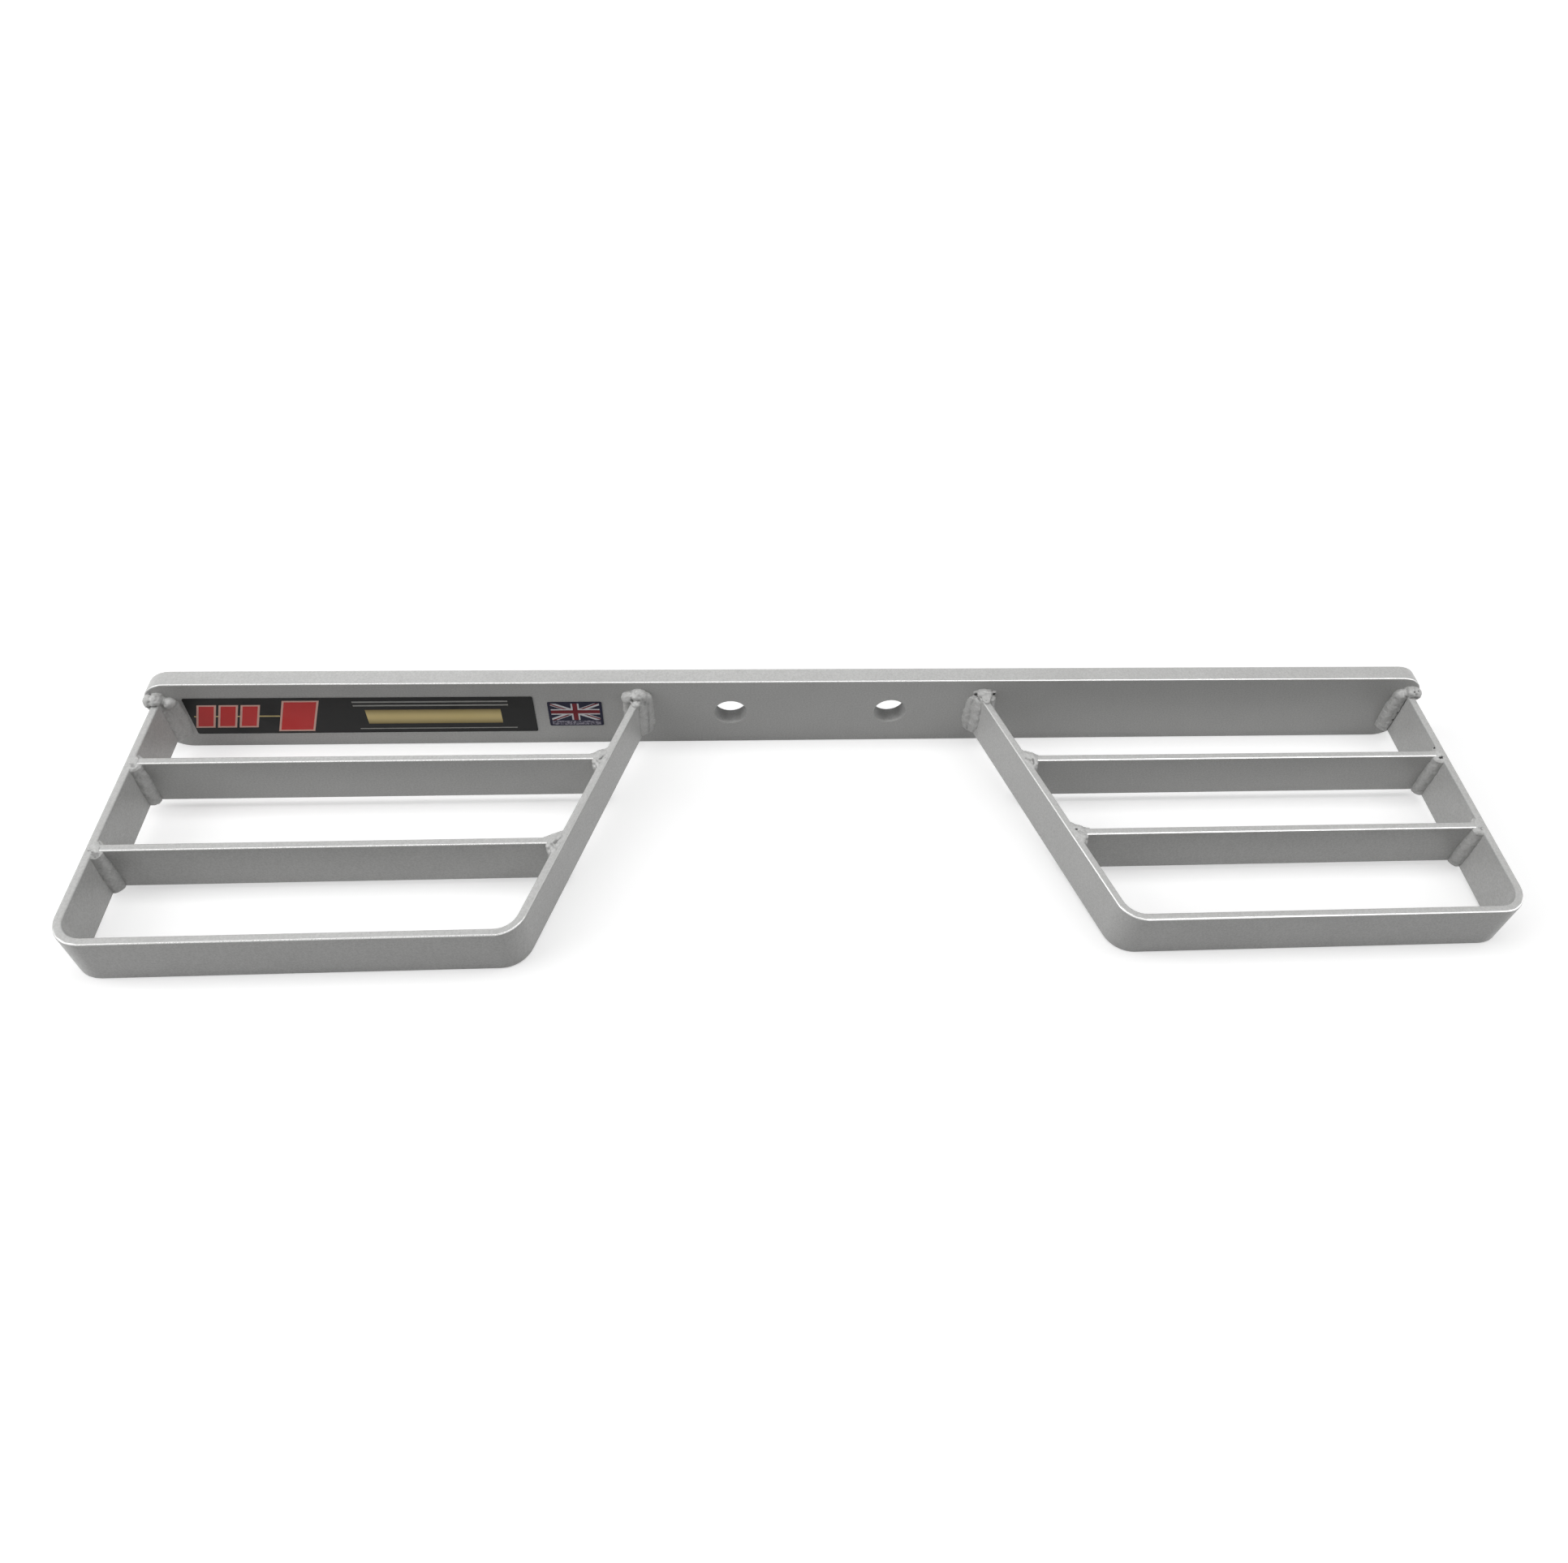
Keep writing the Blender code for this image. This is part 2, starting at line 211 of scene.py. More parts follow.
def make_paint_grain():
    """Sprayed metallic paint: flakes, drifting tone where sprays overlapped, faint orange peel."""
    inputs = {"Flake Strength": 0.1, "Drift Strength": 0.06, "Peel Strength": 0.5}
    tree, given, result = new_group("paint_grain", inputs, ("Tone", "Roughness Shift", "Height"))
    place = object_place(tree)
    flake = cloud(tree, place, FLAKE_SCALE, FLAKE_DETAIL)
    drift = cloud(tree, place, DRIFT_SCALE, DRIFT_DETAIL)
    peel = cloud(tree, place, PEEL_SCALE, PEEL_DETAIL)
    flake_part = calc(tree, "SUBTRACT", flake, NOISE_MIDDLE)
    flake_part = calc(tree, "MULTIPLY", flake_part, given.outputs["Flake Strength"])
    drift_part = calc(tree, "SUBTRACT", drift, NOISE_MIDDLE)
    drift_part = calc(tree, "MULTIPLY", drift_part, given.outputs["Drift Strength"])
    tone = calc(tree, "ADD", calc(tree, "ADD", flake_part, drift_part), 1.0)
    tree.links.new(tone, result.inputs["Tone"])
    tree.links.new(calc(tree, "SUBTRACT", drift_part, flake_part), result.inputs["Roughness Shift"])
    height = calc(tree, "ADD", peel, calc(tree, "MULTIPLY", flake, FLAKE_HEIGHT))
    height = calc(tree, "MULTIPLY", height, given.outputs["Peel Strength"])
    tree.links.new(height, result.inputs["Height"])
    return tree


def make_handling_marks():
    """Finger smudges and short rub lines, as one mask."""
    tree, given, result = new_group("handling_marks", {"Amount": 0.3, "Size": 30.0}, ("Mask",))
    place = object_place(tree)
    touched = cloud(tree, place, given.outputs["Size"], SMUDGE_DETAIL)
    smudge = ramp(tree, touched, *SMUDGE_RANGE, interpolation_type="SMOOTHSTEP")
    stretched = add(tree, "ShaderNodeMapping", {"Vector": place, "Scale": RUB_STRETCH}).outputs[0]
    lines = cloud(tree, stretched, RUB_SCALE, RUB_DETAIL)
    rub = ramp(tree, lines, *RUB_RANGE, interpolation_type="SMOOTHSTEP")
    both = calc(tree, "MULTIPLY", smudge, SMUDGE_SHARE)
    both = calc(tree, "ADD", both, calc(tree, "MULTIPLY", rub, smudge))
    tree.links.new(calc(tree, "MULTIPLY", both, given.outputs["Amount"]), result.inputs["Mask"])
    return tree


def make_vinyl_ripple():
    """The slow waves of a sticker that was smoothed on by hand."""
    tree, given, result = new_group("vinyl_ripple", {"Size": 160.0}, ("Height",))
    wave = cloud(tree, object_place(tree), given.outputs["Size"], WAVE_DETAIL)
    tree.links.new(wave, result.inputs["Height"])
    return tree


def make_sticker_place():
    """Across and up a sticker, each from 0 to 1."""
    inputs = {"Left": 0.0, "Bottom": 0.0, "Width": 1.0, "Height": 1.0}
    tree, given, result = new_group("sticker_place", inputs, ("Across", "Up"))
    place = split(tree, object_place(tree))
    across = calc(tree, "SUBTRACT", place["X"], given.outputs["Left"])
    up = calc(tree, "SUBTRACT", place["Z"], given.outputs["Bottom"])
    tree.links.new(calc(tree, "DIVIDE", across, given.outputs["Width"]), result.inputs["Across"])
    tree.links.new(calc(tree, "DIVIDE", up, given.outputs["Height"]), result.inputs["Up"])
    return tree


PAINT_GRAIN = make_paint_grain()
HANDLING_MARKS = make_handling_marks()
VINYL_RIPPLE = make_vinyl_ripple()
STICKER_PLACE = make_sticker_place()


# ---- silver paint ----

SILVER = (0.50, 0.50, 0.492, 1.0)
SILVER_METALLIC = 0.05
SILVER_ROUGHNESS = 0.40
SILVER_GLOSS = 0.4
SMUDGE_POLISH = 0.12
PAINT_BUMP = 0.10
PAINT_BUMP_DEPTH = 0.0003

# The highlight painted on rounded edges: how far they must face forward and up, how high they lie,
# and how much weaker the painted highlight is towards the part's left end.
SILVER_HIGHLIGHT = (0.93, 0.93, 0.92, 1.0)
EDGE_METALLIC = 0.45
EDGE_POLISH = 0.18
EDGE_FORWARD = (0.12, 0.30)
EDGE_UP = (0.34, 0.60)
EDGE_ABOVE = 0.005
HIGHLIGHT_FADE_FROM = -0.35
HIGHLIGHT_FADE_FULL = 0.20
HIGHLIGHT_LEAST = 0.5

# The bolt holes: how far they lie to each side, their radius with a little to spare, and the share
# of painted shade at the near end and the far end.
SHADE_IN_HOLES = (0.06, 0.06, 0.06, 1.0)
HOLE_ASIDE = 0.045
HOLE_REACH = 0.0094
HOLE_SHADE = (0.0, 0.9)

WELD_ROUGHNESS = 0.38
WELD_BUMP = 0.12
PAINTED_PIT_SHADE = (0.03, 0.03, 0.03, 1.0)
PIT_ROUGHNESS = 0.4


def painted_edge_highlight(tree):
    """1 on the rounded edges that face forward and up, where a highlight is painted."""
    facing = split(tree, add(tree, "ShaderNodeTexCoord").outputs["Normal"])
    forward = ramp(tree, calc(tree, "MULTIPLY", facing["Y"], -1.0), *EDGE_FORWARD)
    upward = ramp(tree, facing["Z"], *EDGE_UP)
    place = split(tree, object_place(tree))
    high = calc(tree, "GREATER_THAN", place["Z"], EDGE_ABOVE)
    highlight_share = ramp(tree, place["X"], HIGHLIGHT_FADE_FROM, HIGHLIGHT_FADE_FULL, low=HIGHLIGHT_LEAST)
    turned = calc(tree, "MULTIPLY", forward, upward)
    return calc(tree, "MULTIPLY", turned, calc(tree, "MULTIPLY", high, highlight_share))


def shade_in_holes(tree):
    """Painted shade inside the bolt holes, from none at the near end to most at the far one."""
    place = split(tree, object_place(tree))
    aside = calc(tree, "SUBTRACT", calc(tree, "ABSOLUTE", place["X"]), HOLE_ASIDE)
    aside = calc(tree, "MULTIPLY", aside, aside)
    away = calc(tree, "ADD", aside, calc(tree, "MULTIPLY", place["Z"], place["Z"]))
    inside = calc(tree, "LESS_THAN", away, HOLE_REACH * HOLE_REACH)
    return calc(tree, "MULTIPLY", inside, ramp(tree, place["Y"], BAR_FACE_Y, 0.0, *HOLE_SHADE))


def make_silver_paint():
    """Silver paint on flat steel, with a highlight painted on its edges and shade painted in its
    holes.
    """
    material, tree, shader = new_material("silver_paint")
    grain = use_group(tree, PAINT_GRAIN,
                      Flake_Strength=0.45, Drift_Strength=0.12, Peel_Strength=0.5)
    marks = use_group(tree, HANDLING_MARKS, Amount=0.5, Size=24.0)
    edge = painted_edge_highlight(tree)
    colour = blend_colour(tree, 1.0, SILVER, grain["Tone"], blend_type="MULTIPLY")
    # A highlight painted on the rounded front edges, weaker towards the left end.
    colour = blend_colour(tree, edge, colour, SILVER_HIGHLIGHT)
    # Shade painted dark inside the bolt holes, growing towards the far end.
    colour = blend_colour(tree, shade_in_holes(tree), colour, SHADE_IN_HOLES)
    tree.links.new(colour, shader.inputs["Base Color"])
    rough = calc(tree, "ADD", grain["Roughness Shift"], SILVER_ROUGHNESS)
    rough = calc(tree, "SUBTRACT", rough, calc(tree, "MULTIPLY", marks["Mask"], SMUDGE_POLISH))
    rough = calc(tree, "SUBTRACT", rough, calc(tree, "MULTIPLY", edge, EDGE_POLISH))
    tree.links.new(rough, shader.inputs["Roughness"])
    # The edges that carry the painted highlight are also made more metallic.
    bare = calc(tree, "ADD", calc(tree, "MULTIPLY", edge, EDGE_METALLIC), SILVER_METALLIC)
    tree.links.new(bare, shader.inputs["Metallic"])
    shader.inputs["Specular IOR Level"].default_value = SILVER_GLOSS
    raise_surface(tree, shader, grain["Height"], PAINT_BUMP, PAINT_BUMP_DEPTH)
    return material


def make_painted_weld():
    """The same paint over weld beads, a little shinier, with shade painted dark into the pits."""
    material, tree, shader = new_material("painted_weld")
    grain = use_group(tree, PAINT_GRAIN,
                      Flake_Strength=0.45, Drift_Strength=0.16, Peel_Strength=0.8)
    # The pit attribute holds shade painted dark into the pits, creases and the toe gap.
    bare = add(tree, "ShaderNodeAttribute", attribute_name="pit").outputs["Fac"]
    colour = blend_colour(tree, 1.0, SILVER, grain["Tone"], blend_type="MULTIPLY")
    colour = blend_colour(tree, bare, colour, PAINTED_PIT_SHADE)
    tree.links.new(colour, shader.inputs["Base Color"])
    rough = calc(tree, "ADD", grain["Roughness Shift"], WELD_ROUGHNESS)
    rough = calc(tree, "ADD", rough, calc(tree, "MULTIPLY", bare, PIT_ROUGHNESS))
    tree.links.new(rough, shader.inputs["Roughness"])
    shader.inputs["Metallic"].default_value = SILVER_METALLIC
    shader.inputs["Specular IOR Level"].default_value = SILVER_GLOSS
    raise_surface(tree, shader, grain["Height"], WELD_BUMP, PAINT_BUMP_DEPTH)
    return material


# ---- stickers ----

VINYL_GLOSS = 0.15
VINYL_ROUGHNESS = 0.34
VINYL_SMUDGE = 0.35
VINYL_BUMP = 0.08
VINYL_BUMP_DEPTH = 0.0004

# The label's print. Places on a sticker are left, right, bottom and top, as shares of its size.
VINYL_BLACK = (0.011, 0.011, 0.011, 1.0)
VINYL_RED = (0.80, 0.060, 0.060, 1.0)
VINYL_PALE = (0.95, 0.58, 0.50, 1.0)
VINYL_GREY = (0.42, 0.42, 0.40, 1.0)
VINYL_BRASS = (0.88, 0.72, 0.34, 1.0)
VINYL_BRASS_DARK = (0.30, 0.22, 0.09, 1.0)
BAR_SLANT = 0.05
BAR_RIM = 0.006
BAR_RIM_UP = 0.04
RED_BARS = (
    (-0.001, 0.042, 0.22, 0.78),
    (0.061, 0.104, 0.22, 0.78),
    (0.123, 0.166, 0.22, 0.78),
    (0.238, 0.331, 0.10, 0.89),
)
BRASS_RULE = (0.012, 0.256, 0.485, 0.515)
GREY_RULES = (
    (0.475, 0.925, 0.76, 0.80),
    (0.475, 0.925, 0.86, 0.90),
    (0.475, 0.94, 0.105, 0.13),
)
BRASS_STRIPE = (0.505, 0.90, 0.26, 0.66)

# The flag's print. Widths are in parts of a flag that is 60 wide and 30 high.
FLAG_NAVY = (0.007, 0.007, 0.034, 1.0)
FLAG_WHITE = (0.84, 0.84, 0.87, 1.0)
FLAG_RED = (0.22, 0.012, 0.022, 1.0)
FLAG_FIELD = (0.05, 0.95, 0.24, 0.94)
FLAG_WIDE = 60.0
FLAG_HIGH = 30.0
FLAG_DIAGONAL = math.sqrt(5.0)
SALTIRE_HALF = 3.0
SALTIRE_RED = 2.0
CROSS_HALF = 5.0
CROSS_RED_HALF = 3.0
FLAG_BAND = (0.50, 0.47, 0.56, 1.0)
BAND_PLACE = (0.05, 0.95, 0.04, 0.21)
FLECK_SCALE = 900.0
FLECK_DETAIL = 1.0
FLECK_RANGE = (0.40, 0.60)
FLECK_SHARE = (0.15, 0.75)


def sticker_place(tree, node):
    """Across and up the sticker that a node is, each from 0 to 1."""
    low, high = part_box(node)
    size = high - low
    place = use_group(tree, STICKER_PLACE, Left=low.x, Bottom=low.z, Width=size.x, Height=size.z)
    return place["Across"], place["Up"]


def between(tree, value, low, high):
    """1 where the value lies between two limits."""
    return calc(tree, "COMPARE", value, (low + high) / 2.0, (high - low) / 2.0)


def patch(tree, across, up, left, right, bottom, top):
    """1 on a rectangle of a sticker."""
    wide = between(tree, across, left, right)
    return calc(tree, "MULTIPLY", wide, between(tree, up, bottom, top))


def cross(tree, first, second, half):
    """1 on two crossing stripes, each so far to both sides of its middle line."""
    stripe = between(tree, first, -half, half)
    return calc(tree, "MAXIMUM", stripe, between(tree, second, -half, half))


def finish_vinyl(tree, shader, colour):
    """Give printed vinyl its satin surface, with smudges and a slow ripple."""
    marks = use_group(tree, HANDLING_MARKS, Amount=0.6, Size=60.0)
    ripple = use_group(tree, VINYL_RIPPLE, Size=160.0)
    tree.links.new(colour, shader.inputs["Base Color"])
    rough = calc(tree, "ADD", calc(tree, "MULTIPLY", marks["Mask"], VINYL_SMUDGE), VINYL_ROUGHNESS)
    tree.links.new(rough, shader.inputs["Roughness"])
    shader.inputs["Specular IOR Level"].default_value = VINYL_GLOSS
    raise_surface(tree, shader, ripple["Height"], VINYL_BUMP, VINYL_BUMP_DEPTH)


def make_label_vinyl():
    """Black vinyl with a plain print: red bars with pale edges, thin rules and a brass stripe."""
    material, tree, shader = new_material("label_vinyl")
    across, up = sticker_place(tree, "maker_label")
    slanted = calc(tree, "SUBTRACT", across, calc(tree, "MULTIPLY", up, BAR_SLANT))
    colour = blend_colour(tree, patch(tree, across, up, *BRASS_RULE), VINYL_BLACK, VINYL_BRASS)
    for bar in RED_BARS:
        left, right, bottom, top = bar
        rim = (left - BAR_RIM, right + BAR_RIM, bottom - BAR_RIM_UP, top + BAR_RIM_UP)
        colour = blend_colour(tree, patch(tree, slanted, up, *rim), colour, VINYL_PALE)
        colour = blend_colour(tree, patch(tree, slanted, up, *bar), colour, VINYL_RED)
    for rule in GREY_RULES:
        colour = blend_colour(tree, patch(tree, across, up, *rule), colour, VINYL_GREY)
    sheen = ramp(tree, up, *BRASS_STRIPE[2:])
    arch = calc(tree, "SINE", calc(tree, "MULTIPLY", sheen, math.pi))
    brass = blend_colour(tree, arch, VINYL_BRASS_DARK, VINYL_BRASS)
    colour = blend_colour(tree, patch(tree, across, up, *BRASS_STRIPE), colour, brass)
    finish_vinyl(tree, shader, colour)
    return material


def make_flag_vinyl():
    """A crossed national flag on a dark blue border, with a band of pale specks below it."""
    material, tree, shader = new_material("flag_vinyl")
    across, up = sticker_place(tree, "flag_sticker")
    left, right, bottom, top = FLAG_FIELD
    x = calc(tree, "SUBTRACT", across, (left + right) / 2.0)
    x = calc(tree, "MULTIPLY", x, FLAG_WIDE / (right - left))
    y = calc(tree, "SUBTRACT", up, (bottom + top) / 2.0)
    y = calc(tree, "MULTIPLY", y, FLAG_HIGH / (top - bottom))
    side = calc(tree, "SIGN", x)
    twice = calc(tree, "MULTIPLY", y, 2.0)
    rising = calc(tree, "DIVIDE", calc(tree, "SUBTRACT", x, twice), FLAG_DIAGONAL)
    falling = calc(tree, "DIVIDE", calc(tree, "ADD", x, twice), FLAG_DIAGONAL)
    colour = blend_colour(tree, cross(tree, rising, falling, SALTIRE_HALF), FLAG_NAVY, FLAG_WHITE)
    rising_red = between(tree, calc(tree, "MULTIPLY", rising, side), -SALTIRE_RED, 0.0)
    falling_red = between(tree, calc(tree, "MULTIPLY", falling, side), 0.0, SALTIRE_RED)
    colour = blend_colour(tree, calc(tree, "MAXIMUM", rising_red, falling_red), colour, FLAG_RED)
    colour = blend_colour(tree, cross(tree, x, y, CROSS_HALF), colour, FLAG_WHITE)
    colour = blend_colour(tree, cross(tree, x, y, CROSS_RED_HALF), colour, FLAG_RED)
    colour = blend_colour(tree, patch(tree, across, up, *FLAG_FIELD), FLAG_NAVY, colour)
    speck = cloud(tree, object_place(tree), FLECK_SCALE, FLECK_DETAIL)
    fleck = ramp(tree, speck, *FLECK_RANGE, *FLECK_SHARE)
    band = calc(tree, "MULTIPLY", patch(tree, across, up, *BAND_PLACE), fleck)
    finish_vinyl(tree, shader, blend_colour(tree, band, colour, FLAG_BAND))
    return material


# ---- steel ----

MERGE_WITHIN = 0.00001
SHARP_ABOVE = math.radians(50.0)
FLAT_FACE_WEIGHT = 80


def make_soft_edges():
    """A modifier tree that joins the solid's facets and keeps only true corners sharp."""
    tree = bpy.data.node_groups.new("soft_edges", "GeometryNodeTree")
    tree.interface.new_socket(name="Geometry", in_out="INPUT", socket_type="NodeSocketGeometry")
    tree.interface.new_socket(name="Geometry", in_out="OUTPUT", socket_type="NodeSocketGeometry")
    tree.is_modifier = True
    given = tree.nodes.new("NodeGroupInput").outputs[0]
    wires = {"Geometry": given, "Distance": MERGE_WITHIN}
    joined = add(tree, "GeometryNodeMergeByDistance", wires).outputs[0]
    wires = {"Geometry": joined, "Name": "custom_normal"}
    bare = add(tree, "GeometryNodeRemoveAttribute", wires).outputs[0]
    wires = {"Geometry": bare, "Shade Smooth": True}
    smooth = add(tree, "GeometryNodeSetShadeSmooth", wires, domain="FACE").outputs[0]
    angle = add(tree, "GeometryNodeInputMeshEdgeAngle").outputs["Unsigned Angle"]
    corner = add(tree, "FunctionNodeCompare", {0: angle, 1: SHARP_ABOVE},
                 data_type="FLOAT", operation="GREATER_THAN").outputs[0]
    wires = {"Geometry": smooth, "Selection": corner, "Shade Smooth": False}
    kept = add(tree, "GeometryNodeSetShadeSmooth", wires, domain="EDGE").outputs[0]
    result = tree.nodes.new("NodeGroupOutput")
    tree.links.new(kept, result.inputs[0])
    return tree


SOFT_EDGES = make_soft_edges()


def finish_solid(name, material):
    """Give a carried-over solid its finish and smooth rounded edges."""
    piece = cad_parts[name]
    piece.data.materials.clear()
    piece.data.materials.append(material)
    soft = piece.modifiers.new("soft_edges", "NODES")
    soft.node_group = SOFT_EDGES
    weighted = piece.modifiers.new("flat_faces", "WEIGHTED_NORMAL")
    weighted.mode = "FACE_AREA"
    weighted.weight = FLAT_FACE_WEIGHT
    weighted.keep_sharp = True


# ---- how a weld is made ----

# A bead: how deep it is sunk in the steel, how fine its rings are, how its ends are drawn in, and
# its ripple.
SINK = 0.0005
STATION = 0.0008
LEAST_STATIONS = 6
ARC_STEPS = 12
DRAWN_END = 0.0018
DRAWN_LEAST = 0.12
RIPPLE_PITCH = 0.0021
RIPPLE = 0.025
LUMP_ROUNDS = 3

# A weld's skin: how finely its beads are melted together, and its lumps as pitch and depth.
BEAD_VOXEL = 0.00036
MELT_EASE = 0.5
MELT_EASE_ROUNDS = 2
COARSE_LUMP = (0.0032, 0.00042)
FINE_LUMP = (0.0012, 0.00020)
SEED_SLIDE = (1.0, 0.37, -0.61)

# A dent in the skin: which skin it may lie on, how ragged its rim is, how far it is felt, and how
# its depth turns into painted shade.
OPEN_SKIN = 0.4
RAGGED = 0.7
RAGGED_PITCH = 0.0008
DENT_FELT = 3.0
DARK_GAIN = 2.4
DARK_FROM = 0.7
TINY = 1e-12


def legs_at(legs, share):
    """The bead's two legs at a share of its length, eased between the places given."""
    for first, second in zip(legs, legs[1:]):
        if share <= second[0]:
            ease = (share - first[0]) / (second[0] - first[0])
            ease = ease * ease * (3.0 - 2.0 * ease)
            return [(a + (b - a) * ease) * MM for a, b in zip(first[1:], second[1:])]
    return [leg * MM for leg in legs[-1][1:]]


def lay_bead(work, start, end, spread, rise, legs, hollow):
    """A bead along a straight corner, its section from a toe on one face to a toe on the other.

    legs holds (share of the length, leg along spread, leg along rise), the legs in millimetres.
    hollow is 1 for a round section, less for a fuller one, 2 for a flat one and more for a hollow
    one.
    """
    length = (end - start).length
    count = max(LEAST_STATIONS, round(length / STATION))
    rings = []
    for step in range(count + 1):
        share = step / count
        corner = start.lerp(end, share)
        near_end = min(share, 1.0 - share) * length
        drawn = min(1.0, near_end / DRAWN_END)
        drawn = DRAWN_LEAST + (1.0 - DRAWN_LEAST) * math.sqrt(1.0 - (1.0 - drawn) ** 2)
        drawn *= 1.0 + RIPPLE * math.sin(2.0 * math.pi * share * length / RIPPLE_PITCH)
        along_host, along_strip = [leg * drawn for leg in legs_at(legs, share)]
        ring = [corner - (spread + rise) * SINK, corner + spread * along_host - rise * SINK]
        for turn in range(ARC_STEPS + 1):
            angle = math.pi / 2.0 * turn / ARC_STEPS
            out = along_host * max(0.0, math.cos(angle)) ** hollow
            off = along_strip * math.sin(angle) ** hollow
            ring.append(corner + spread * out + rise * off)
        ring.append(corner + rise * along_strip - spread * SINK)
        rings.append([work.verts.new(point) for point in ring])
    size = len(rings[0])
    for ring, following in zip(rings, rings[1:]):
        for place in range(size):
            after = (place + 1) % size
            work.faces.new((ring[place], ring[after], following[after], following[place]))
    work.faces.new(rings[0][::-1])
    work.faces.new(rings[-1])


def lay_lump(work, middle, radii):
    """A rounded lump of weld metal."""
    shape = Matrix.Translation(middle) @ Matrix.Diagonal((*radii, 1.0))
    bmesh.ops.create_icosphere(work, subdivisions=LUMP_ROUNDS, radius=1.0, matrix=shape)


def is_open(vertex):
    """True where the weld's skin faces up, forward or towards the middle of the step."""
    middle = -vertex.normal.x if vertex.co.x > 0.0 else vertex.normal.x
    return max(vertex.normal.z, -vertex.normal.y, middle) > OPEN_SKIN


def nearest(points, place):
    """A copy of the point that lies nearest to a place."""
    return min(points, key=lambda point: (point - place).length_squared).copy()


def off_line(point, start, end):
    """How far a point lies from the line between two ends."""
    run = end - start
    share = (point - start).dot(run) / max(run.length_squared, TINY)
    return (point - start - run * max(0.0, min(1.0, share))).length


def roughen(mesh, dents, seed):
    """Cooling lumps over the whole weld, pits and creases where metal fell in, with painted shade
    in them.
    """
    offset = Vector([seed * slide for slide in SEED_SLIDE])
    skin = [vertex.co for vertex in mesh.vertices if is_open(vertex)]
    dents = [(nearest(skin, start), nearest(skin, end), *size) for start, end, *size in dents]
    marks = []
    moved = []
    for vertex in mesh.vertices:
        push = 0.0
        for pitch, depth in (COARSE_LUMP, FINE_LUMP):
            push += depth * noise.noise(vertex.co / pitch + offset)
        ragged = 1.0 + RAGGED * noise.noise(vertex.co / RAGGED_PITCH + offset)
        # dark is the shade painted into the pits and creases, kept as the pit attribute.
        dark = 0.0
        for start, end, radius, depth, bare in dents:
            away = off_line(vertex.co, start, end)
            if away < DENT_FELT * radius:
                fall = math.exp(-(away * ragged / radius) ** 2)
                push -= depth * fall
                dark = max(dark, bare * max(0.0, min(1.0, fall * DARK_GAIN - DARK_FROM)))
        marks.append(dark)
        moved.append(vertex.co + vertex.normal * push)
    for vertex, place in zip(mesh.vertices, moved):
        vertex.co = place
    layer = mesh.attributes.new("pit", "FLOAT", "POINT")
    layer.data.foreach_set("value", marks)


def melt_together(node, beads, lumps):
    """One closed skin around a weld's beads and lumps."""
    work = bmesh.new()
    for bead in beads:
        lay_bead(work, *bead)
    for middle, radii in lumps:
        lay_lump(work, middle, radii)
    bmesh.ops.recalc_face_normals(work, faces=work.faces)
    parts = bpy.data.meshes.new(node + "_parts")
    work.to_mesh(parts)
    work.free()
    holder = bpy.data.objects.new(node + "_parts", parts)
    bpy.context.scene.collection.objects.link(holder)
    melt = holder.modifiers.new("melt", "REMESH")
    melt.mode = "VOXEL"
    melt.voxel_size = BEAD_VOXEL
    ease = holder.modifiers.new("ease", "SMOOTH")
    ease.factor = MELT_EASE
    ease.iterations = MELT_EASE_ROUNDS
    ready = holder.evaluated_get(bpy.context.evaluated_depsgraph_get())
    mesh = bpy.data.meshes.new_from_object(ready)
    bpy.data.objects.remove(holder)
    bpy.data.meshes.remove(parts)
    mesh.name = node + "_bead"
    return mesh


def add_weld(node, beads, lumps, dents, seed):
    """Dress a weld solid: a closed weld of beads and lumps that stands for it."""
    mesh = melt_together(node, beads, lumps)
    roughen(mesh, dents, seed)
    mesh.polygons.foreach_set("use_smooth", [True] * len(mesh.polygons))
    mesh.materials.clear()
    mesh.materials.append(PAINTED_WELD)
    weld = bpy.data.objects.new(node + "_bead", mesh)
    bpy.context.scene.collection.objects.link(weld)
    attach(weld, "root")
    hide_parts(node)


# ---- parts of a weld, with places and sizes in millimetres ----

FORWARD = Vector((0.0, -1.0, 0.0))
UP = Vector((0.0, 0.0, 1.0))
LEFT_LEAN = Vector((-LEAN.x, LEAN.y, 0.0))


def spot(x, y, z):
    """A point given in millimetres."""
    return Vector((x, y, z)) * MM


def lump(middle, radii):
    """A lump of weld metal."""
    return spot(*middle), spot(*radii)


def pit(x, y, z, radius, depth, dark=0.0):
    """A hollow in a weld. Where it is dark, shade is painted into it."""
    return spot(x, y, z), spot(x, y, z), radius * MM, depth * MM, dark


def crease(start, end, radius, depth, dark=0.0):
    """A hollow drawn out along a line."""
    return spot(*start), spot(*end), radius * MM, depth * MM, dark


def corner_bead(x, y, spread, rise, low, high, legs, hollow):
    """A bead up the corner at x and y, which are in metres."""
    return Vector((x, y, low * MM)), Vector((x, y, high * MM)), spread, rise, legs, hollow


def bar_bead(x, low, high, toward, run, legs, hollow):
    """A bead between the bar's face and a strip's side face at x, spreading left or right."""
    return corner_bead(x, BAR_FACE_Y, Vector((toward, 0.0, 0.0)), run, low, high, legs, hollow)


def crown_bead(left, right, run, legs, hollow):
    """A bead over a strip's top edge at the bar."""
    start = Vector((left * MM, BAR_FACE_Y, STRIP_TOP_Z))
    end = Vector((right * MM, BAR_FACE_Y, STRIP_TOP_Z))
    return start, end, UP, run, legs, hollow


# ---- the welds at the bar ----

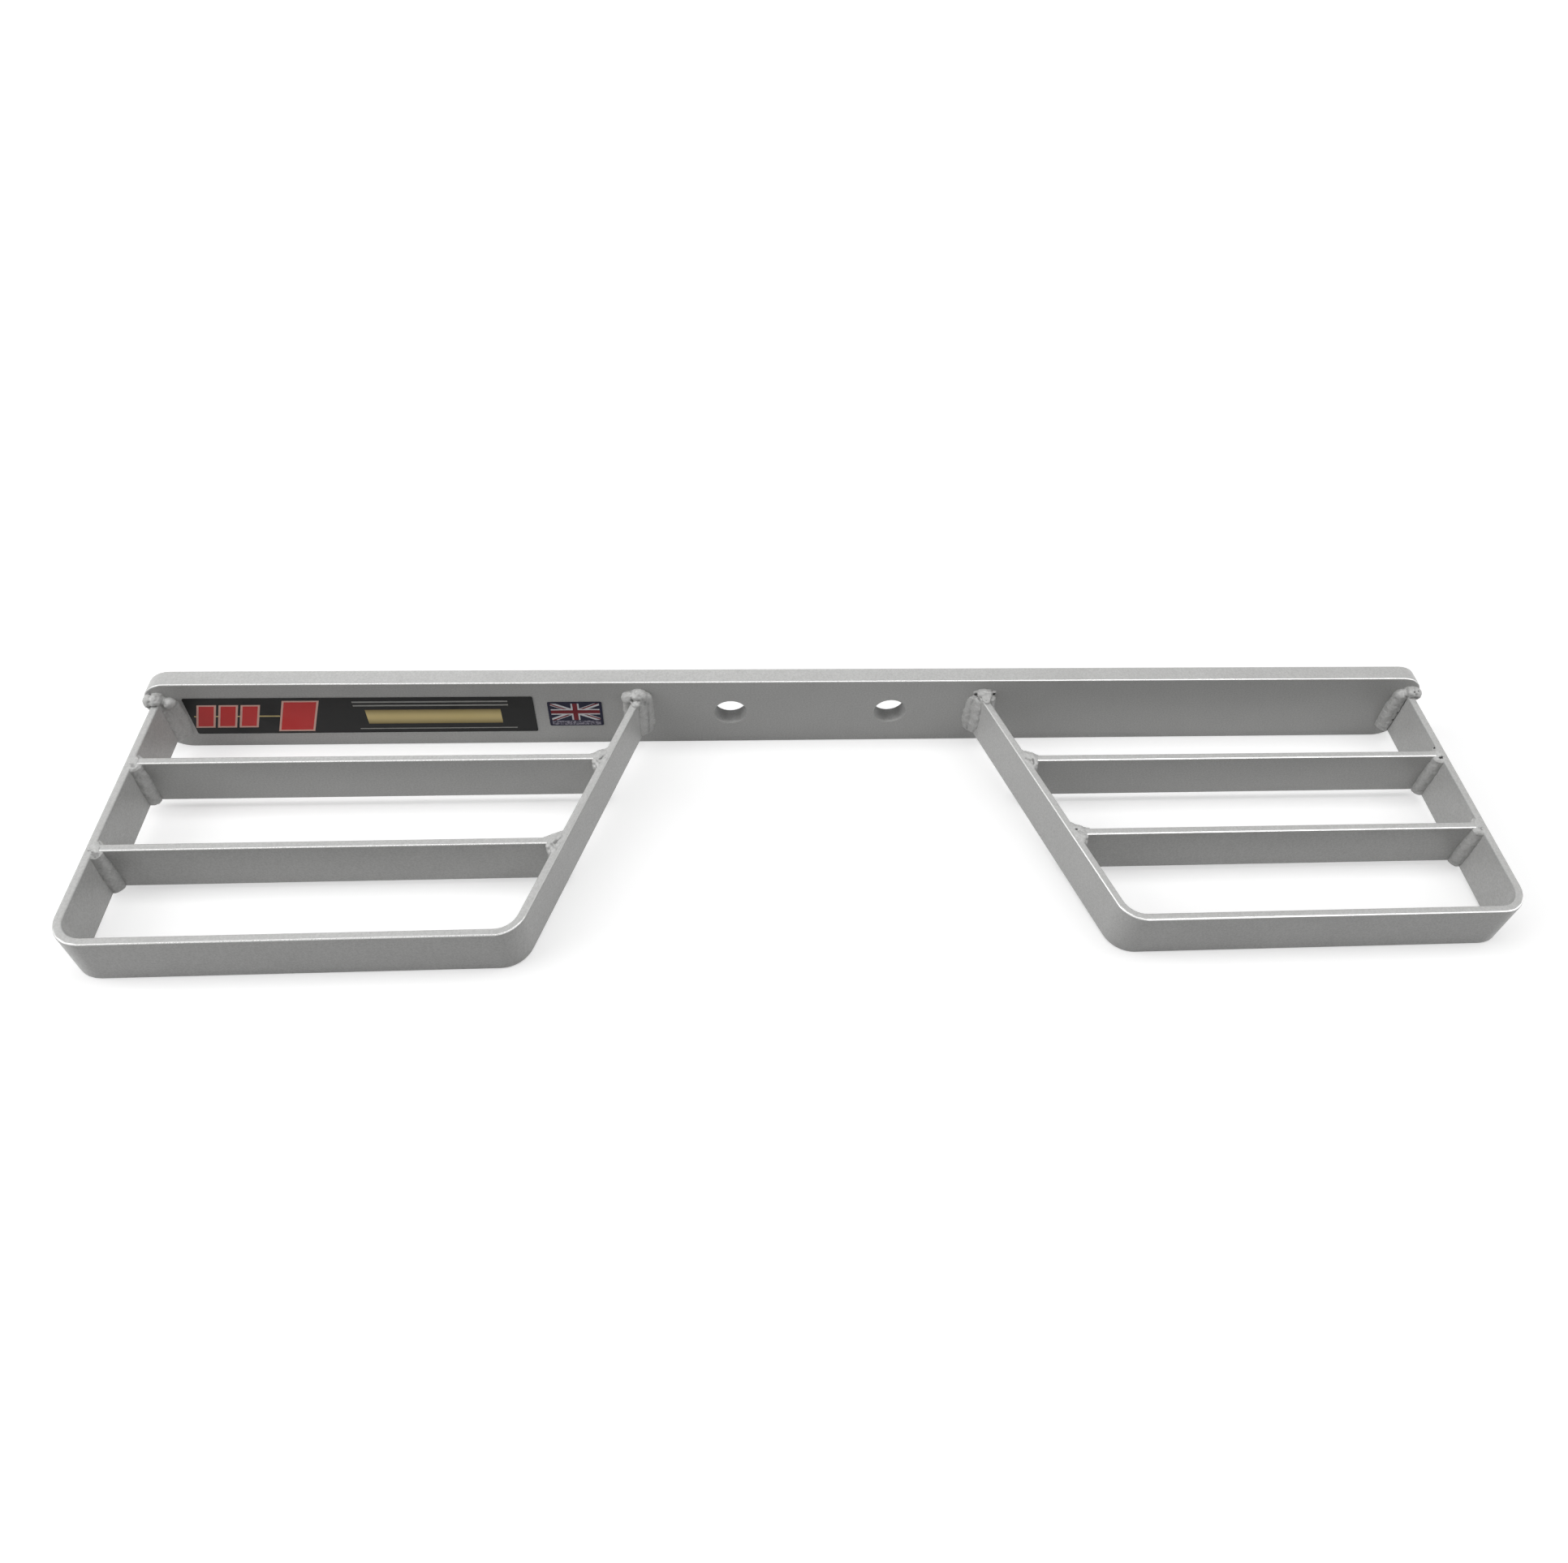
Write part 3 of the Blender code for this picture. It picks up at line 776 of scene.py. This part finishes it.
def weld_left_outer_end():
    """A flat bead inside the frame, a round one outside, and a crown of three lumps."""
    beads = [
        bar_bead(-OUTER_BAY_X, -16.5, 14.8, 1.0, FORWARD,
                 ((0.0, 6.6, 5.0), (0.5, 8.0, 5.5), (0.85, 7.4, 5.2), (1.0, 5.6, 4.0)),
                 hollow=1.8),
        bar_bead(-OUTER_FACE_X, -15.5, 16.0, -1.0, FORWARD,
                 ((0.0, 4.0, 5.0), (0.5, 4.6, 5.5), (1.0, 5.0, 5.0)), hollow=1.1),
        crown_bead(-350.5, -343.5, FORWARD, ((0.0, 4.0, 5.0), (1.0, 3.6, 4.6)), hollow=1.0),
    ]
    lumps = [
        lump((-350.0, -12.6, 15.6), (3.3, 4.4, 4.1)),
        lump((-346.9, -12.8, 16.3), (3.2, 4.3, 3.9)),
        lump((-341.6, -11.8, 12.9), (3.6, 3.7, 3.2)),
    ]
    dents = [
        pit(-350.2, -10.6, 19.6, 1.0, 0.6, dark=0.8),
        crease((-344.2, -11.0, 17.6), (-344.0, -14.6, 14.8), 0.7, 0.4, dark=0.2),
        crease((-348.6, -11.0, 20.0), (-348.4, -16.0, 17.8), 0.6, 0.45, dark=0.12),
        crease((-350.4, -16.6, 14.8), (-345.6, -17.0, 15.2), 0.6, 0.5, dark=0.6),
    ]
    add_weld("left_outer_bar_weld", beads, lumps, dents, seed=3.1)


def weld_left_inner_end():
    """Two beads side by side towards the middle, one in the bay, and a wide crown."""
    beads = [
        bar_bead(-CENTRE_FACE_AT_BAR, -15.5, 15.5, 1.0, LEFT_LEAN,
                 ((0.0, 4.6, 4.0), (0.3, 5.8, 4.6), (0.8, 5.4, 4.4), (1.0, 4.5, 4.0)),
                 hollow=1.0),
        bar_bead(-CENTRE_FACE_AT_BAR, -14.5, 15.5, 1.0, LEFT_LEAN,
                 ((0.0, 2.8, 6.0), (0.3, 3.4, 7.2), (0.8, 3.2, 6.6), (1.0, 2.8, 5.5)),
                 hollow=1.05),
        bar_bead(-BAY_FACE_AT_BAR, -15.0, 15.5, -1.0, LEFT_LEAN,
                 ((0.0, 5.5, 5.5), (0.5, 6.5, 6.5), (1.0, 6.2, 5.5)), hollow=1.0),
        crown_bead(-99.0, -91.5, LEFT_LEAN,
                   ((0.0, 4.2, 4.8), (0.5, 4.8, 6.2), (1.0, 4.2, 5.0)), hollow=1.0),
    ]
    lumps = [
        lump((-95.4, -12.1, 16.7), (5.2, 4.3, 3.9)),
        lump((-100.6, -12.2, 15.2), (4.0, 4.0, 4.0)),
        lump((-91.4, -11.2, 13.2), (3.8, 3.0, 4.9)),
        lump((-96.6, -16.2, 15.0), (2.6, 3.2, 1.6)),
    ]
    dents = [
        crease((-98.8, -11.4, 19.2), (-98.2, -15.0, 16.2), 0.7, 0.6, dark=0.3),
        crease((-94.6, -14.2, 18.6), (-92.6, -15.6, 15.6), 0.7, 0.5, dark=0.1),
        crease((-98.4, -15.6, 16.4), (-94.4, -15.4, 16.8), 0.5, 0.5, dark=0.3),
        crease((-102.6, -14.6, 13.4), (-99.6, -16.4, 14.6), 0.6, 0.5, dark=0.2),
        crease((-90.2, -13.4, 12.0), (-90.4, -13.6, -12.0), 0.6, 0.35, dark=0.22),
        pit(-96.4, -12.8, 20.2, 0.7, 0.4),
    ]
    add_weld("left_inner_bar_weld", beads, lumps, dents, seed=7.7)


def weld_right_inner_end():
    """Two beads side by side towards the middle, one in the bay, and a crown between two shaded
    pits.
    """
    beads = [
        bar_bead(CENTRE_FACE_AT_BAR, -15.5, 13.0, -1.0, LEAN,
                 ((0.0, 3.8, 3.4), (0.35, 6.0, 4.4), (0.75, 5.2, 4.0), (1.0, 3.8, 3.4)),
                 hollow=1.0),
        bar_bead(CENTRE_FACE_AT_BAR, -15.0, 13.8, -1.0, LEAN,
                 ((0.0, 2.4, 5.8), (0.35, 3.4, 7.8), (0.75, 3.0, 7.2), (1.0, 2.6, 6.0)),
                 hollow=1.0),
        bar_bead(BAY_FACE_AT_BAR, -15.0, 14.5, 1.0, LEAN,
                 ((0.0, 6.0, 5.5), (0.6, 7.0, 6.0), (1.0, 6.4, 5.0)), hollow=1.05),
        crown_bead(92.4, 101.6, LEAN,
                   ((0.0, 3.0, 2.2), (0.45, 3.6, 7.4), (1.0, 3.0, 2.2)), hollow=1.1),
    ]
    lumps = [
        lump((97.0, -11.6, 16.0), (4.6, 3.0, 2.9)),
        lump((97.2, -14.2, 15.4), (2.6, 4.4, 1.8)),
        lump((92.4, -10.0, 15.0), (1.8, 1.3, 1.7)),
        lump((102.5, -10.0, 15.4), (1.4, 1.3, 1.4)),
    ]
    dents = [
        pit(92.4, -11.2, 15.0, 1.5, 0.1, dark=1.0),
        pit(102.5, -11.2, 15.4, 1.1, 0.1, dark=1.0),
        crease((94.0, -12.8, 15.0), (95.2, -16.4, 15.2), 0.5, 0.5, dark=0.35),
        crease((100.4, -12.2, 15.6), (99.2, -16.0, 15.2), 0.5, 0.5, dark=0.35),
        crease((90.2, -13.2, 11.5), (90.4, -13.4, -13.0), 0.6, 0.35, dark=0.28),
        pit(96.9, -17.0, 16.9, 0.5, 0.4, dark=0.4),
        pit(95.6, -13.0, 18.4, 0.6, 0.35),
    ]
    add_weld("right_inner_bar_weld", beads, lumps, dents, seed=11.9)


def weld_right_outer_end():
    """A full bead inside the frame, painted shade in a gap at its toe, one outside, and a pitted
    crown.
    """
    beads = [
        bar_bead(OUTER_BAY_X, -16.5, 15.0, -1.0, FORWARD,
                 ((0.0, 5.8, 5.2), (0.5, 6.6, 5.8), (1.0, 5.8, 5.4)), hollow=0.85),
        bar_bead(OUTER_FACE_X, -15.5, 15.5, 1.0, FORWARD,
                 ((0.0, 4.0, 5.0), (0.5, 4.5, 5.5), (1.0, 4.8, 5.0)), hollow=1.1),
        crown_bead(343.5, 350.5, FORWARD, ((0.0, 3.6, 4.8), (1.0, 3.8, 5.0)), hollow=1.0),
    ]
    lumps = [
        lump((349.8, -12.4, 15.6), (3.3, 4.2, 3.7)),
        lump((346.6, -12.6, 16.3), (3.0, 4.2, 3.6)),
        lump((342.6, -12.0, 13.6), (3.8, 3.6, 3.3)),
    ]
    dents = [
        crease((345.0, -15.7, 13.4), (345.0, -15.6, 1.0), 0.6, 0.3, dark=0.8),
        crease((345.0, -15.6, 1.0), (345.0, -15.2, -14.0), 0.6, 0.3, dark=0.65),
        pit(344.6, -15.6, 2.0, 0.9, 0.4, dark=0.9),
        pit(344.6, -15.5, -5.0, 0.8, 0.4, dark=0.8),
        crease((344.4, -11.4, 18.0), (344.8, -15.2, 15.0), 0.7, 0.5, dark=0.2),
        crease((345.8, -16.8, 15.4), (350.2, -16.4, 15.2), 0.6, 0.5, dark=0.5),
        crease((348.2, -11.2, 19.6), (348.4, -15.8, 17.4), 0.6, 0.5, dark=0.3),
        pit(347.4, -14.8, 18.6, 0.7, 0.5, dark=0.8),
        pit(350.4, -13.8, 18.6, 0.7, 0.5, dark=0.6),
        pit(346.0, -12.2, 19.2, 0.7, 0.4),
    ]
    add_weld("right_outer_bar_weld", beads, lumps, dents, seed=17.3)


# ---- the welds at the slats ----

# Beads at a slat's ends: lower end, upper end, legs, and how hollow.
OUTER_FRONT = (-16.2, 15.3, ((0.0, 4.2, 4.6), (0.5, 4.6, 5.0), (1.0, 4.0, 4.2)), 0.92)
OUTER_BACK = (-15.0, 14.7, ((0.0, 3.2, 3.2), (1.0, 3.8, 3.6)), 1.7)
INNER_FRONT = (-16.0, 14.9, ((0.0, 3.6, 3.2), (0.7, 4.6, 3.6), (1.0, 5.6, 4.2)), 1.15)
INNER_BACK = (-15.0, 15.2, ((0.0, 3.5, 4.5), (0.6, 4.4, 6.5), (1.0, 5.6, 9.8)), 2.1)

# A drop of weld metal beside one slat's end.
DROPS = {"right_rear_outer": lump((345.0, -52.4, 14.0), (0.8, 1.3, 1.2))}

SLAT_DENTS = {
    "left_rear_outer": (
        crease((-348.2, -54.8, 15.6), (-343.8, -56.0, 15.6), 1.1, 0.6, dark=0.4),
        pit(-345.6, -52.0, 15.6, 0.8, 0.35),
    ),
    "left_rear_inner": (
        crease((-112.8, -54.8, 15.7), (-110.4, -53.2, 15.7), 0.7, 0.7, dark=0.6),
        pit(-109.2, -52.0, 15.7, 0.8, 0.4),
        crease((-114.6, -55.8, 15.4), (-113.0, -57.4, 15.2), 0.6, 0.5, dark=0.2),
    ),
    "left_front_outer": (
        crease((-348.0, -107.6, 15.2), (-342.8, -108.8, 14.8), 1.6, 0.7, dark=0.5),
        pit(-346.6, -104.6, 15.6, 0.8, 0.35),
    ),
    "left_front_inner": (
        crease((-130.8, -106.6, 15.7), (-127.8, -104.8, 15.7), 1.0, 0.8, dark=0.5),
        pit(-126.4, -104.0, 15.6, 0.9, 0.45),
        crease((-132.4, -107.6, 15.2), (-130.6, -109.6, 15.2), 0.6, 0.5, dark=0.25),
    ),
    "right_rear_inner": (
        crease((112.2, -57.4, 15.7), (114.2, -59.0, 15.7), 0.6, 0.6, dark=0.4),
        pit(111.4, -55.6, 15.6, 0.8, 0.4),
        crease((115.6, -58.2, 15.4), (116.0, -60.6, 14.2), 0.6, 0.5, dark=0.6),
        pit(114.2, -61.4, 13.8, 0.6, 0.5, dark=0.6),
    ),
    "right_rear_outer": (
        crease((344.4, -59.8, 15.4), (348.0, -60.6, 15.4), 1.0, 0.6, dark=1.0),
        pit(344.6, -52.4, 14.2, 0.8, 0.1, dark=1.0),
        pit(346.4, -56.0, 15.6, 0.8, 0.35),
    ),
    "right_front_inner": (
        pit(129.4, -103.7, 15.7, 0.7, 0.6, dark=1.0),
        crease((130.4, -105.4, 15.7), (132.6, -106.8, 15.6), 0.7, 0.6, dark=0.2),
        crease((133.4, -106.8, 15.2), (133.6, -109.4, 14.4), 0.6, 0.5, dark=0.25),
    ),
    "right_front_outer": (
        crease((345.0, -107.4, 15.4), (348.0, -108.4, 15.4), 1.1, 0.6, dark=0.5),
        pit(347.2, -103.8, 15.6, 0.8, 0.35),
    ),
}

FIRST_SLAT_SEED = 23.0
INNER_SEED_STEP = 5.0
SLAT_SEED_STEP = 11.0


def cap_lump(x, y, side, out, ahead, up, radii):
    """A lump on a slat's end, moved out to its side and ahead of x and y, which are in metres."""
    middle = Vector((x + side * out * MM, y - ahead * MM, up * MM))
    return middle, spot(*radii)


def weld_slat_outer(end, side, front_y, back_y, seed):
    """A round bead in the corner before the slat, a flat one behind it, and a thin cap on top."""
    x = side * OUTER_BAY_X
    inward = Vector((-side, 0.0, 0.0))
    middle_y = (front_y + back_y) / 2.0
    beads = [
        corner_bead(x, front_y, FORWARD, inward, *OUTER_FRONT),
        corner_bead(x, back_y, -FORWARD, inward, *OUTER_BACK),
    ]
    lumps = [
        cap_lump(x, middle_y, side, out=0.5, ahead=0.4, up=14.5, radii=(3.2, 4.2, 1.15)),
        cap_lump(x, front_y, side, out=-0.6, ahead=0.9, up=14.2, radii=(3.0, 2.6, 1.2)),
    ]
    if end in DROPS:
        lumps.append(DROPS[end])
    add_weld(end + "_weld", beads, lumps, SLAT_DENTS[end], seed)


def bay_face_x(side, y):
    """Where the slanting strip's face in the bay lies at y."""
    return side * (BAY_FACE_AT_BAR + (y - BAR_FACE_Y) * LEAN.x / LEAN.y)


def weld_slat_inner(end, side, front_y, back_y, seed):
    """A lumpy bead before the slat, a long hollow fairing behind it, and a pitted cap on top."""
    run = Vector((side * LEAN.x, LEAN.y, 0.0))
    outward = Vector((side, 0.0, 0.0))
    middle_y = (front_y + back_y) / 2.0
    front_x = bay_face_x(side, front_y)
    middle_x = bay_face_x(side, middle_y)
    back_x = bay_face_x(side, back_y)
    beads = [
        corner_bead(front_x, front_y, run, outward, *INNER_FRONT),
        corner_bead(back_x, back_y, -run, outward, *INNER_BACK),
    ]
    lumps = [
        cap_lump(middle_x, middle_y, side, out=1.0, ahead=0.0, up=14.5, radii=(4.4, 4.6, 1.25)),
        cap_lump(front_x, front_y, side, out=2.4, ahead=0.8, up=14.4, radii=(2.2, 2.4, 1.5)),
        cap_lump(front_x, front_y, side, out=0.4, ahead=3.0, up=14.4, radii=(2.0, 2.6, 1.2)),
    ]
    add_weld(end + "_weld", beads, lumps, SLAT_DENTS[end], seed)


def weld_slat_ends():
    """Weld each slat at its outer and its inner end, each weld with lumps of its own."""
    seed = FIRST_SLAT_SEED
    for side_name, side in (("left", -1.0), ("right", 1.0)):
        for row in ("rear", "front"):
            low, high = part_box(side_name + "_" + row + "_slat")
            prefix = side_name + "_" + row
            weld_slat_outer(prefix + "_outer", side, low.y, high.y, seed)
            weld_slat_inner(prefix + "_inner", side, low.y, high.y, seed + INNER_SEED_STEP)
            seed += SLAT_SEED_STEP


# ---- studio ----

WHITE = (1.0, 1.0, 1.0, 1.0)
SKY = 0.02
BACKDROP = 1.0

# The floor: its glow near the part, how far out the glow starts to rise and is full, its grey as it
# is seen and as it lights the part, and its faint clouds.
FLOOR_SIZE = 8.0
FLOOR_GLOW = 0.50
GLOW_FROM = 0.36
GLOW_FULL = 0.75
FLOOR_SEEN = (0.64, 0.64, 0.64, 1.0)
FLOOR_BOUNCE = (0.42, 0.42, 0.42, 1.0)
FLOOR_CLOUD_SCALE = 3.0
FLOOR_CLOUD_DETAIL = 2.0
FLOOR_CLOUD_LEAST = 0.985

LAMPS = (
    # name, place, size across and deep, power
    ("top_softbox", (0.0, 0.05, 1.4), (2.2, 0.5), 13.2),
    ("left_softbox", (-1.45, -0.25, 0.85), (1.2, 1.2), 14.0),
    ("right_softbox", (1.45, -0.25, 0.85), (1.2, 1.2), 5.0),
    ("front_softbox", (0.85, -1.0, 1.1), (1.0, 0.4), 2.4),
    ("back_softbox", (-0.2, 1.3, 0.9), (1.6, 0.8), 4.6),
)
AIM = Vector((0.0, -0.07, 0.0))


def seen_directly(tree):
    """1 for rays that show the floor or the backdrop: to the camera, mirrored or let through."""
    path = add(tree, "ShaderNodeLightPath").outputs
    shown = calc(tree, "MAXIMUM", path["Is Camera Ray"], path["Is Glossy Ray"])
    return calc(tree, "MAXIMUM", shown, path["Is Transmission Ray"])


def make_white_floor():
    """White that keeps the part's shadow near it and glows to plain white further out."""
    material, tree, shader = new_material("white_floor")
    tree.nodes.remove(shader)
    place = object_place(tree)
    away = add(tree, "ShaderNodeVectorMath", {0: place}, operation="LENGTH").outputs["Value"]
    rising = ramp(tree, away, GLOW_FROM, GLOW_FULL, low=FLOOR_GLOW, interpolation_type="SMOOTHSTEP")
    drift = cloud(tree, place, FLOOR_CLOUD_SCALE, FLOOR_CLOUD_DETAIL)
    tone = ramp(tree, drift, 0.0, 1.0, low=FLOOR_CLOUD_LEAST)
    strength = calc(tree, "MULTIPLY", rising, tone)
    glow = add(tree, "ShaderNodeEmission", {"Strength": strength}).outputs[0]
    seen = add(tree, "ShaderNodeBsdfDiffuse", {"Color": FLOOR_SEEN}).outputs[0]
    shown = add(tree, "ShaderNodeAddShader", {0: seen, 1: glow}).outputs[0]
    bounce = add(tree, "ShaderNodeBsdfDiffuse", {"Color": FLOOR_BOUNCE}).outputs[0]
    wires = {0: seen_directly(tree), 1: bounce, 2: shown}
    mixed = add(tree, "ShaderNodeMixShader", wires).outputs[0]
    tree.links.new(mixed, tree.nodes["Material Output"].inputs["Surface"])
    return material


def lay_floor():
    """The step lies on the lower edges of the bar and the front strips, so the floor slopes."""
    slope = math.atan2(STRIP_BOTTOM_Z - BAR_BOTTOM_Z, BAR_FACE_Y - STEP_FRONT_Y)
    mesh = bpy.data.meshes.new("floor")
    work = bmesh.new()
    bmesh.ops.create_grid(work, x_segments=1, y_segments=1, size=FLOOR_SIZE / 2.0)
    work.to_mesh(mesh)
    work.free()
    mesh.materials.append(make_white_floor())
    floor = bpy.data.objects.new("floor", mesh)
    bpy.context.scene.collection.objects.link(floor)
    floor.rotation_euler = (-slope, 0.0, 0.0)
    floor.location = (0.0, BAR_FACE_Y, BAR_BOTTOM_Z)


def light_studio():
    """A white backdrop that hardly lights the part, and softboxes that do."""
    world = bpy.data.worlds.new("studio")
    bpy.context.scene.world = world
    world.use_nodes = True
    tree = world.node_tree
    sky = tree.nodes["Background"]
    sky.inputs["Color"].default_value = WHITE
    sky.inputs["Strength"].default_value = SKY
    white = add(tree, "ShaderNodeBackground", {"Color": WHITE, "Strength": BACKDROP})
    wires = {0: seen_directly(tree), 1: sky.outputs[0], 2: white.outputs[0]}
    mixed = add(tree, "ShaderNodeMixShader", wires).outputs[0]
    tree.links.new(mixed, tree.nodes["World Output"].inputs["Surface"])
    for name, place, size, power in LAMPS:
        lamp = bpy.data.lights.new(name, "AREA")
        lamp.shape = "RECTANGLE"
        lamp.size, lamp.size_y = size
        lamp.energy = power
        holder = bpy.data.objects.new(name, lamp)
        bpy.context.scene.collection.objects.link(holder)
        holder.location = place
        holder.rotation_euler = (AIM - Vector(place)).to_track_quat("-Z", "Y").to_euler()


# ---- the scene ----

place_camera()
SILVER_PAINT = make_silver_paint()
PAINTED_WELD = make_painted_weld()
for steel in STEEL_PIECES:
    finish_solid(steel, SILVER_PAINT)
finish_solid("maker_label", make_label_vinyl())
finish_solid("flag_sticker", make_flag_vinyl())
weld_left_outer_end()
weld_left_inner_end()
weld_right_inner_end()
weld_right_outer_end()
weld_slat_ends()
lay_floor()
light_studio()

bpy.context.scene.view_settings.view_transform = "Standard"
